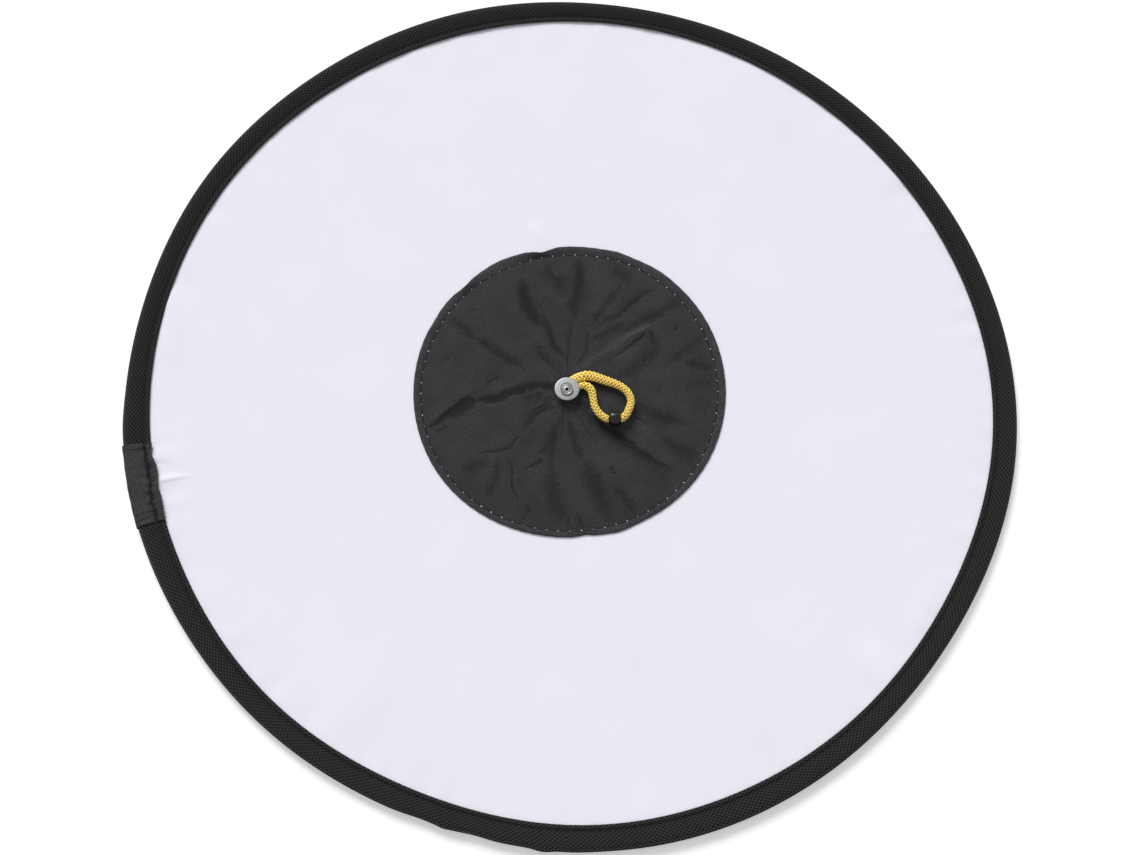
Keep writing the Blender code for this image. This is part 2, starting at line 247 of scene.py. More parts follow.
def makeTaffeta():  # plain woven white polyester: matt, faintly blue, lets light through
    material, tree, shader = newMaterial("white polyester taffeta")
    place = addNode(tree, "ShaderNodeAttribute", attribute_name="run").outputs["Vector"]
    cross = crossWeave(tree, place, 0.6, {})  # mm, three times the real spacing so that it can show
    cloud = addNode(tree, "ShaderNodeTexNoise", {"Vector": place, "Scale": 1 / 45, "Detail": 2.0})
    tint = addNode(tree, "ShaderNodeMix", {"Factor": cloud, 6: srgb("EFEDF8"), 7: srgb("F4F3FB")}, data_type="RGBA")
    lift = addNode(tree, "ShaderNodeBump", {"Height": cross, "Strength": 0.08, "Distance": 0.0001})
    plug(tree, shader, {"Base Color": tint.outputs[2], "Normal": lift, "Roughness": 0.75, "Specular IOR Level": 0.2})
    through = addNode(tree, "ShaderNodeBsdfTranslucent", {"Color": tint.outputs[2]})
    both = addNode(tree, "ShaderNodeMixShader", {0: 0.12, 1: shader, 2: through})
    plug(tree, tree.nodes["Material Output"], {"Surface": both})
    return material


def makeNylon():  # coated black nylon: charcoal, low sheen, a close weave, faint handling marks, painted shade in creases and hollows, painted highlights on some ridges
    material, tree, shader = newMaterial("coated black nylon")
    place = addNode(tree, "ShaderNodeAttribute", attribute_name="run").outputs["Vector"]
    cross = crossWeave(tree, place, 0.7, {"Distortion": 0.6, "Detail": 1.0})  # mm, twice the real spacing
    speck = addNode(tree, "ShaderNodeTexNoise", {"Vector": place, "Scale": 1.1, "Detail": 3.0})
    cloud = addNode(tree, "ShaderNodeTexNoise", {"Vector": place, "Scale": 1 / 14, "Detail": 3.0})
    faint = addNode(tree, "ShaderNodeMath", {0: cloud, 1: 0.4, 2: 0.3}, operation="MULTIPLY_ADD")
    mixed = addNode(tree, "ShaderNodeMath", {0: speck, 1: faint}, operation="MULTIPLY")
    tint = addNode(tree, "ShaderNodeValToRGB", {"Fac": mixed})
    setStops(tint, ((0.15, srgb("323234")), (0.37, srgb("48484A"))))
    paintedShading = addNode(tree, "ShaderNodeSeparateXYZ", {0: place}).outputs["Z"]  # painted shade: above 0 in a crease or hollow, below 0 a painted highlight on a ridge
    shade = addNode(tree, "ShaderNodeMapRange", {
        "Value": paintedShading, "From Min": -1.0, "From Max": 1.0, "To Min": 1.1, "To Max": 0.3})
    # the painted shade and highlights scale the charcoal tint
    shadedTint = addNode(tree, "ShaderNodeVectorMath", {0: tint, "Scale": shade}, operation="SCALE")
    lift = addNode(tree, "ShaderNodeBump", {"Height": cross, "Strength": 0.25, "Distance": 0.0001})
    plug(tree, shader, {"Base Color": shadedTint, "Normal": lift, "Roughness": 0.62, "Specular IOR Level": 0.06})
    return material


def makeTape():  # woven polyester binding: dull black, staggered dark dashes, a row of pale dashes near the outer edge, painted shade in the seam's groove and painted sheen towards its edges
    material, tree, shader = newMaterial("woven black binding tape")
    place = addNode(tree, "ShaderNodeAttribute", attribute_name="run").outputs["Vector"]
    along, across, inward = addNode(tree, "ShaderNodeSeparateXYZ", {0: place}).outputs
    s = rimSet["weave"]
    lean = addNode(tree, "ShaderNodeMath", {0: across, 1: s["lean"], 2: along}, operation="MULTIPLY_ADD")
    waves = []
    for part, pitch in ((lean, s["along"]), (across, s["across"]), (along, s["pale"])):
        turn = addNode(tree, "ShaderNodeMath", {0: part, 1: 2 * math.pi / pitch}, operation="MULTIPLY")
        waves.append(addNode(tree, "ShaderNodeMath", {0: turn}, operation="COSINE"))
    dots = addNode(tree, "ShaderNodeMath", {0: waves[0], 1: waves[1]}, operation="MULTIPLY")
    speck = addNode(tree, "ShaderNodeTexNoise", {"Vector": place, "Scale": 0.9, "Detail": 3.0})
    crown = addNode(tree, "ShaderNodeMapRange", {
        "Value": inward, "From Min": rimSet["groove"], "From Max": rimSet["groove"] + 1.0, "To Min": 0.7})
    shown = addNode(tree, "ShaderNodeMath", {0: crown, 1: speck}, operation="MULTIPLY")
    uneven = addNode(tree, "ShaderNodeMath", {0: dots, 1: shown, 2: 0.2}, operation="MULTIPLY_ADD")
    yarn = addNode(tree, "ShaderNodeValToRGB", {"Fac": uneven})
    setStops(yarn, ((0.0, srgb("363536")), (0.42, srgb("0E0D0D"))))
    reach = addNode(tree, "ShaderNodeMath", {0: inward, 1: s["reach"]}, operation="DIVIDE")
    shadeAndSheen = addNode(tree, "ShaderNodeValToRGB", {"Fac": reach})
    setStops(shadeAndSheen, [(at / s["reach"], (grey, grey, grey, 1)) for at, grey in s["shadeAndSheen"]])
    # painted shade in the groove and painted sheen near the edges darken and lighten the yarn
    pressed = addNode(tree, "ShaderNodeVectorMath", {0: yarn, 1: shadeAndSheen}, operation="MULTIPLY")
    away = addNode(tree, "ShaderNodeMath", {0: inward, 1: s["paleRow"]}, operation="SUBTRACT")
    size = addNode(tree, "ShaderNodeMath", {0: away}, operation="ABSOLUTE")
    bead = addNode(tree, "ShaderNodeMapRange", {"Value": waves[2], "From Min": -0.1, "From Max": 0.7, "To Max": 0.55})
    row = addNode(tree, "ShaderNodeMapRange", {
        "Value": size, "From Min": 0.2, "From Max": 0.5, "To Min": 1.0, "To Max": 0.0})
    pale = addNode(tree, "ShaderNodeMath", {0: bead, 1: row}, operation="MULTIPLY")
    tint = addNode(tree, "ShaderNodeMix", {"Factor": pale, 6: pressed, 7: srgb("6A6966")}, data_type="RGBA")
    lift = addNode(tree, "ShaderNodeBump", {"Height": uneven, "Strength": 0.5, "Distance": 0.0003}, invert=True)
    plug(tree, shader, {"Base Color": tint.outputs[2], "Normal": lift, "Roughness": 0.85, "Specular IOR Level": 0.12})
    return material


def makeBraid(name, low, high):  # braided polyester yarn: fine fibres, painted shade on each strand where it dives under another
    material, tree, shader = newMaterial(name)
    place = addNode(tree, "ShaderNodeAttribute", attribute_name="run").outputs["Vector"]
    stretch = addNode(tree, "ShaderNodeVectorMath", {0: place, 1: (0.35, 5.0, 0.0)}, operation="MULTIPLY")
    yarn = addNode(tree, "ShaderNodeTexNoise", {"Vector": stretch, "Scale": 1.0, "Detail": 2.0})
    tint = addNode(tree, "ShaderNodeMix", {"Factor": yarn, 6: srgb(low), 7: srgb(high)}, data_type="RGBA")
    over = addNode(tree, "ShaderNodeSeparateXYZ", {0: place}).outputs["Z"]  # 1 on top, -1 underneath, where painted shade darkens the strand
    shade = addNode(tree, "ShaderNodeMapRange", {"Value": over, "From Min": -0.6, "From Max": 0.7, "To Min": 0.78})
    diveShaded = addNode(tree, "ShaderNodeVectorMath", {0: tint.outputs[2], "Scale": shade}, operation="SCALE")
    lift = addNode(tree, "ShaderNodeBump", {"Height": yarn, "Strength": 0.35, "Distance": 0.0002})
    plug(tree, shader, {"Base Color": diveShaded, "Normal": lift, "Roughness": 0.6, "Specular IOR Level": 0.3})
    return material


def makeMottled(name, size, detail, low, high, look, rough=None, lift=None):  # thread, plate, strip and sleeve
    material, tree, shader = newMaterial(name)
    place = addNode(tree, "ShaderNodeTexCoord").outputs["Object"]
    mottle = addNode(tree, "ShaderNodeTexNoise", {"Vector": place, "Scale": 1 / (size * mm), "Detail": detail})
    tint = addNode(tree, "ShaderNodeMix", {"Factor": mottle, 6: low, 7: high}, data_type="RGBA")
    look = {**look, "Base Color": tint.outputs[2]}
    if rough:
        look["Roughness"] = addNode(tree, "ShaderNodeMapRange", {
            "Value": mottle, "To Min": rough[0], "To Max": rough[1]})
    if lift:
        look["Normal"] = addNode(tree, "ShaderNodeBump", {
            "Height": mottle, "Strength": lift[0], "Distance": lift[1]})
    plug(tree, shader, look)
    return material


rimSet = {  # the tape folded round the hoop
    # how far each edge is out of round, as the photograph shows it: size, waves round it, angle of a crest
    "outerWaves": ((0.83, 1, -11.9), (1.63, 2, -43.3), (0.33, 3, 25.4), (0.9, 4, 11.1), (0.53, 5, -5.7),
                   (0.25, 6, -9.0), (0.19, 7, -10.5), (0.16, 8, 10.8), (0.2, 9, -11.2)),
    "innerWaves": ((1.23, 1, -14.9), (1.51, 2, -44.9), (0.41, 3, 30.5), (0.64, 4, 1.0), (0.56, 5, 2.1),
                   (0.15, 6, -12.0), (0.2, 8, 2.2), (0.16, 9, -10.6)),
    # the tab thickens the tape and the ends of the hoop's splice press on it: angle, rise, width
    "corners": ((185, 0.55, 3.5), (252, -0.65, 2.2), (255, 0.35, 0.7), (258.8, -0.75, 2.2), (267.2, 1.0, 1.3),
                (270.5, 0.45, 3.0)),
    "step": 1.0,  # along the rim
    "thick": 0.45,
    "stitchPitch": 4.0,
    "loops": 1.15,  # pitch of the woven loops along the tape's edges
    "groove": 2.95,  # from the inner edge to the seam
    "draw": (0.14, 0.9),  # how deep and how widely a stitch draws the tape in
    "weave": {"along": 2.5, "across": 1.8, "lean": -0.12, "pale": 1.5, "paleRow": 12.1, "reach": 14.6,
              # painted shade and sheen: how light the tape is at each distance from its edge, darkest in the seam's
              # groove, lighter towards both edges
              "shadeAndSheen": ((0, 0.95), (1.4, 0.92), (2.2, 0.7), (2.9, 0.5), (3.5, 0.64), (4.6, 0.74), (8.5, 0.76),
                       (11.5, 1.0))},
    # half of the section from the inner edge to the outermost point: from the panel's radius, and from mid height
    "section": ((-12.4, 0.75), (-12.1, 1.12), (-11.2, 1.36), (-10.4, 1.34), (-9.95, 1.2), (-9.65, 1.1), (-9.3, 1.24),
                (-8.5, 1.58), (-7.2, 1.95), (-5.5, 2.36), (-3.6, 2.68), (-2.1, 2.6), (-0.95, 2.1), (-0.25, 1.2),
                (0.0, 0.0)),
}
rimMiddle = rimTop / 2


def rimWobble(angle, offset):
    outer, inner = waveSum(angle, rimSet["outerWaves"]), waveSum(angle, rimSet["innerWaves"])
    outer = outer + roundMarks(angle, rimSet["corners"])
    share = np.clip(1 - offset / rimSet["section"][0][0], 0, 1)
    return inner + share * (outer - inner)


def rimPoint(angle, offset, height):
    radius, height = np.broadcast_arrays(panelRadius + rimWobble(angle, offset) + offset, height)
    return np.stack([radius * np.cos(angle), radius * np.sin(angle), height], -1)


def onRim(angle, flat):  # a section laid round the rim
    return rimPoint(angle[:, None], flat[..., 0], rimMiddle + flat[..., 1])


def halfAngles(side, step):
    count = int(math.pi * panelRadius / step)
    return np.linspace(-math.pi / 2, math.pi / 2, count + 1) + (0 if side == "right" else math.pi)


def wholeSection(points, samples):
    upper = smoothLine(points, samples)
    return np.concatenate([upper, upper[-2::-1] * (1, -1)])


tapeSection = wholeSection(rimSet["section"], 2)


def sectionNormals(section):
    slope = np.gradient(section, axis=0)
    normal = np.stack([-slope[:, 1], slope[:, 0]], 1)
    return normal / np.linalg.norm(normal, axis=1)[:, None]


tabSet = {
    "from": 187.5, "to": 198.6,  # degrees
    "gap": 0.22, "thick": 0.35,
    "hem": 3.4, "lowHem": 5.6, "hemRise": 0.07,
    "rows": (3.3, -5.7, -2.6),  # seams across it, from its upper end or, below 0, from its lower end
    # how far it reaches past the tape's inner edge: place along it, reach
    "overhang": ((0, 0.5), (3, 0.3), (6, -0.3), (10, 0.9), (13, 1.7), (15.2, 1.55), (18, 1.7), (23.5, 0.8),
                 (25.5, 0.6), (30, 1.1), (34.5, 1.0), (39, 0.5), (43.6, 0.3)),
    "edge": ((-12.4, 1.12), (-12.1, 1.22)),  # its section lies flat there
    "drift": (26.5, 0.9),  # the seam runs farther out from this place on
    "pressed": 0.75,  # how far the tape sinks in under the back of the tab
    "columns": 130,
    "stitchPitch": 2.3,
    "ripple": (0.06, 0.55),  # height, and how close
    "seamWander": (0.3, 0.8, 0.6),  # how far, how close, and its jags
    "pucker": (0.2, 1.25),
}


def tabCover(angle):
    inside = [(np.degrees(angle) - tabSet["from"]) / 0.3, (tabSet["to"] - np.degrees(angle)) / 0.3]
    return np.clip(inside[0], 0, 1) * np.clip(inside[1], 0, 1)


def makeBinding(side, replaced):
    angle = halfAngles(side, rimSet["step"])
    across = alongLine(tapeSection)
    normal = sectionNormals(tapeSection)
    fromEdge = np.minimum(across, across[-1] - across)  # alike on the front and on the back
    deep, wide = rimSet["draw"]
    stitch = 0.5 + 0.5 * np.cos(2 * math.pi * angle * panelRadius / rimSet["stitchPitch"])
    move = -deep * stitch[:, None] * bump(fromEdge - rimSet["groove"], wide)
    move -= tabSet["pressed"] * tabCover(angle)[:, None] * (across > across[-1] / 2)
    outer = tapeSection + move[..., None] * normal
    top, bottom = onRim(angle, outer), onRim(angle, outer - rimSet["thick"] * normal)
    run = np.stack(np.broadcast_arrays((angle * panelRadius)[:, None], across, fromEdge), -1)
    piece = sheetSolid("binding" + side.capitalize(), top, bottom, tapeWeave, run)
    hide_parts(*replaced)
    return piece, across[-1]


hoopSet = {"thick": 0.8, "step": 4.0}


def makeHoop(side, replaced):
    low, high = nodeBox("hoop_right")
    outerOffset = high[0] - panelRadius
    angle = halfAngles(side, hoopSet["step"])[:, None]
    heights = np.array([low[2], high[2]])
    top = rimPoint(angle, outerOffset, heights)
    bottom = rimPoint(angle, outerOffset - hoopSet["thick"], heights)
    piece = sheetSolid("hoop" + side.capitalize(), top, bottom, steel, np.zeros(top.shape))
    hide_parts(*replaced)
    return piece


def bendWithWing(piece):
    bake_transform(piece)


taffeta = makeTaffeta()
nylon = makeNylon()
tapeWeave = makeTape()
yellowYarn = makeBraid("golden braided polyester", "FFD04A", "FFF096")
cordCore = makeBraid("cord core in shade", "D8A030", "E8B84C")
# twisted polyester sewing thread: a soft shine on fine plies
threadLook = {"Roughness": 0.6, "Specular IOR Level": 0.3}
blackThread, paleThread = [
    makeMottled(name, 0.3, 1.0, base, (*[min(1.0, 1.5 * part) for part in base[:3]], 1.0), threadLook)
    for name, base in (("black sewing thread", srgb("0D0D0E")), ("white bobbin thread", srgb("C9C7CE")))]
# nickel plated steel, stamped and tumbled: satin, with faint scuffs
nickel = makeMottled("satin nickel plate", 0.8, 4.0, srgb("78787A"), srgb("868688"), {"Metallic": 1.0},
                     (0.34, 0.5), (0.06, 0.0001))
# heat-shrunk black sleeve: smooth and glossy, a little uneven over the cord
sleeveSkin = makeMottled("black shrink sleeve", 1.6, 2.0, srgb("0A0A0B"), srgb("111112"),
                         {"Specular IOR Level": 0.28}, (0.22, 0.3), (0.12, 0.0003))
# blued spring steel strip: rolled, dark, faintly mottled
steel = makeMottled("blued spring steel", 2.0, 3.0, srgb("6A6E78"), srgb("8E939C"),
                    {"Metallic": 1.0, "Roughness": 0.35})
print("materials made")


diffuserSet = {  # cloth in two halves, left and right
    "edge": -7.9,  # from the panel's radius, inside the tape
    "hole": 2.2,
    "thick": 0.3,
    "levels": 88,
    "step": 3.5,
    "fine": (188, 197, 0.15),  # degrees: closer columns beside the tab
    "pucker": 0.35,  # the rim's seam draws the cloth into small waves
    "waves": (0.25, 60),  # height and size
    "flat": (60, 30),  # it lies flat under the disc up to this radius, and is loose that much farther out
    "folds": (
        (0.42, 2.4, 0.8, 0.4, -214, -49.4, -205, -47.6, -198, -46.2, -188, -44.4),
        (-0.35, 1.2, 0.8, 0.45, -214, -37, -207, -38, -199, -38.8),
        (0.5, 6, 3, 0.35, -210, 58, -204, 40, -200, 12),
        (0.6, 4, 5, 0.35, 158, -162, 151, -143, 142, -122),
        (0.3, 5, 5, 0.35, 165, -125, 172, -118, 180, -96),
        (0.25, 12, 12, 0.35, -120, 160, -90, 120, -60, 85),
        (0.25, 10, 14, 0.35, 10, 205, 4, 150, -6, 85),
        (0.25, 12, 12, 0.35, 120, 170, 95, 120, 70, 60),
        (0.25, 14, 12, 0.35, -110, -175, -80, -130, -50, -75),
        (0.25, 12, 14, 0.35, 90, -180, 70, -130, 45, -72),
        (0.4, 4, 3, 0.35, -18, 92, -14, 84, -9, 78),
    ),
}


def makeDiffuser(side, replaced):
    s = diffuserSet
    angle = halfAngles(side, s["step"])
    if side == "left":
        angle = np.union1d(angle, np.radians(np.arange(*s["fine"])))
    angle = angle[:, None]
    edge = panelRadius + rimWobble(angle, s["edge"]) + s["edge"]
    share = np.linspace(0, 1, s["levels"])[None]
    radius = s["hole"] + (edge - s["hole"]) * share
    x, y = radius * np.cos(angle), radius * np.sin(angle)
    held = np.clip((1 - share) * 45, 0, 1) * np.clip((radius - s["flat"][0]) / s["flat"][1], 0, 1)
    pucker = s["pucker"] * grain(angle * 30 + 0 * radius, 0 * radius, 1.0, 5.5) * bump((edge - radius) - 8, 9)
    waves = s["waves"][0] * grain(x, y, s["waves"][1], 3.1)
    height = clothFront - 0.05 + held * (foldHeights(x, y, s["folds"]) + waves + pucker)
    top = np.stack([x, y, height], -1)
    bottom = np.stack([x, y, height - s["thick"]], -1)
    piece = sheetSolid("diffuser" + side.capitalize(), top, bottom, taffeta, np.stack([x, y, 0 * x], -1))
    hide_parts(*replaced)
    bendWithWing(piece)


def makeStitchTree():  # lays thread along the lines of a mesh
    tree = bpy.data.node_groups.new("stitches along lines", "GeometryNodeTree")
    face = tree.interface
    for name, kind in (("Lines", "Geometry"), ("Pitch", "Float"), ("Length", "Float"), ("Thick", "Float"),
                       ("Uneven", "Float"), ("Seed", "Int"), ("Thread", "Material")):
        face.new_socket(name, in_out="INPUT", socket_type="NodeSocket" + kind)
    face.new_socket("Stitches", in_out="OUTPUT", socket_type="NodeSocketGeometry")
    given = addNode(tree, "NodeGroupInput").outputs
    curve = addNode(tree, "GeometryNodeMeshToCurve", {"Mesh": given["Lines"]})
    spaced = addNode(tree, "GeometryNodeResampleCurve", {"Curve": curve, "Length": given["Pitch"]}, mode="LENGTH")
    bead = addNode(tree, "GeometryNodeMeshUVSphere", {"Segments": 8, "Rings": 6, "Radius": 0.5})
    size = addNode(tree, "ShaderNodeCombineXYZ", {"X": given["Length"], "Y": given["Thick"], "Z": given["Thick"]})
    shaped = addNode(tree, "GeometryNodeTransform", {"Geometry": bead, "Scale": size})
    tangent = addNode(tree, "GeometryNodeInputTangent")
    turned = addNode(tree, "FunctionNodeAlignRotationToVector", {"Vector": tangent}, axis="X")
    less = addNode(tree, "ShaderNodeMath", {0: 1.0, 1: given["Uneven"]}, operation="SUBTRACT")
    more = addNode(tree, "ShaderNodeMath", {0: 1.0, 1: given["Uneven"]}, operation="ADD")
    vary = addNode(tree, "FunctionNodeRandomValue", {2: less, 3: more, "Seed": given["Seed"]}, data_type="FLOAT")
    laid = addNode(tree, "GeometryNodeInstanceOnPoints", {
        "Points": spaced, "Instance": shaped, "Rotation": turned, "Scale": vary.outputs[1]})
    real = addNode(tree, "GeometryNodeRealizeInstances", {0: laid})
    smooth = addNode(tree, "GeometryNodeSetShadeSmooth", {0: real})
    finish = addNode(tree, "GeometryNodeSetMaterial", {"Geometry": smooth, "Material": given["Thread"]})
    addNode(tree, "NodeGroupOutput", {"Stitches": finish})
    return tree


stitchTree = makeStitchTree()
stitchSet = {  # length and thickness of a stitch, how uneven, seed
    "rimStitches": (2.7, 0.36, 0.15, 4), "selvedge": (0.9, 0.44, 0.15, 9), "tabStitches": (1.8, 0.3, 0.15, 3),
    "discStitches": (4.6, 0.36, 0.08, 11), "discNeedleDots": (0.56, 0.46, 0.35, 11),
    "discStitchesBack": (4.6, 0.5, 0.08, 12),
}


def laySeam(kind, lines, pitch, thread, side="", closed=False):
    name = kind + side.capitalize()
    points, edges = [], []
    for line in lines:
        first = len(points)
        points += (np.asarray(line) * mm).tolist()
        edges += [(i, i + 1) for i in range(first, len(points) - 1)]
        if closed:
            edges.append((len(points) - 1, first))
    mesh = bpy.data.meshes.new(name)
    mesh.from_pydata(points, edges, [])
    piece = bpy.data.objects.new(name, mesh)
    bpy.context.scene.collection.objects.link(piece)
    layer = piece.modifiers.new("stitches", "NODES")
    layer.node_group = stitchTree
    length, thick, uneven, seed = stitchSet[kind]
    values = {"Pitch": pitch * mm, "Length": length * mm, "Thick": thick * mm, "Uneven": uneven, "Seed": seed,
              "Thread": thread}
    for item in stitchTree.interface.items_tree:
        if item.in_out == "INPUT" and item.name in values:
            layer[item.identifier] = values[item.name]
    done = bpy.data.meshes.new_from_object(piece.evaluated_get(bpy.context.evaluated_depsgraph_get()))
    piece.modifiers.remove(layer)
    piece.data = done
    done.name = name
    return piece


def makeRimSeam(side):
    at = int(np.argmin(abs(alongLine(tapeSection) - rimSet["groove"])))
    angle = halfAngles(side, 1.0)[2:-2]
    offset, height = tapeSection[at]
    lift = 0.02 + (tabSet["gap"] + tabSet["thick"]) * tabCover(angle)
    seams = [rimPoint(angle, offset, rimMiddle + way * (height + lift)) for way in (1, -1)]
    offset, height = tapeSection[1]
    edges = [rimPoint(angle, offset, rimMiddle + way * height) for way in (1, -1)]  # the woven loops of its edges
    for kind, lines, pitch in (("rimStitches", seams, rimSet["stitchPitch"]), ("selvedge", edges, rimSet["loops"])):
        piece = laySeam(kind, lines, pitch, blackThread, side)
        bendWithWing(piece)


def makeTab():  # a hemmed strip of nylon folded over the ends of the tape
    s = tabSet
    start, stop = math.radians(s["from"]), math.radians(s["to"])
    angle = np.linspace(start, stop, s["columns"])
    along = (angle - start) * panelRadius
    length = along[-1]
    section = wholeSection([*s["edge"], *rimSet["section"][2:]], 4)
    across = alongLine(section)
    normal = sectionNormals(section)
    rows = [at % length for at in s["rows"]]
    sewn = sum(bump(along - at, 0.3) for at in rows)
    ends = 1 / (1 + np.exp((along - s["hem"]) / 0.2)) + 1 / (1 + np.exp((length - along - s["lowHem"]) / 0.2))
    rise = s["gap"] + s["hemRise"] * ends - 0.2 * sewn + s["ripple"][0] * np.sin(along * s["ripple"][1] + 1.0)
    fromEdge = np.minimum(across, across[-1] - across)
    wander, close, jags = s["seamWander"]
    drift = wander * np.sin(along * close) + s["drift"][1] / (1 + np.exp(s["drift"][0] - along))
    seam = (rimSet["groove"] - 0.4 + drift + jags * grain(along, 0 * along, 1.1, 8.2))[:, None]
    wide = 0.9 + 0.6 * grain(along, 0 * along, 1.7, 3.3)[:, None]
    pucker = s["pucker"][0] * np.sin(along * s["pucker"][1])[:, None] * bump(fromEdge - seam - 0.9, 1.5)
    pull = -0.5 * bump(fromEdge - seam, wide)
    cloth = 0.07 * grain(*np.broadcast_arrays(along[:, None], across), 2.6, 1.7)
    inner = section + (rise[:, None] + pucker + pull + cloth)[..., None] * normal
    inner[..., 1] = np.maximum(inner[..., 1], s["thick"] + 0.05 - rimMiddle)  # the back lies flat on the floor
    outer = inner + s["thick"] * normal
    over = np.interp(along, *np.array(s["overhang"]).T) + 0.06 * np.sin(along * 2.1)
    for flat in (inner, outer):
        flat[..., 0] -= over[:, None] * np.clip(1 - fromEdge / 2.6, 0, 1)
    top, bottom = onRim(angle, outer), onRim(angle, inner)
    # painted shade along the seam and the cross seams, the rest a little lighter
    shade = -0.35 + np.maximum(0.8 * sewn[:, None], 1.5 * bump(fromEdge - seam, wide * 0.9))
    run = np.stack(np.broadcast_arrays(along[:, None], across, shade), -1)
    piece = sheetSolid("jointTab", top, bottom, nylon, run)
    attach(piece, "left_wing")
    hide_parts("joint_tab")
    top[..., 2] = np.maximum(top[..., 2], 0.45)  # its stitches stay clear of the floor
    lines = [top[int(np.argmin(abs(along - at))), 2:-2] for at in rows]
    seams = laySeam("tabStitches", lines, s["stitchPitch"], blackThread)
    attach(seams, "left_wing")


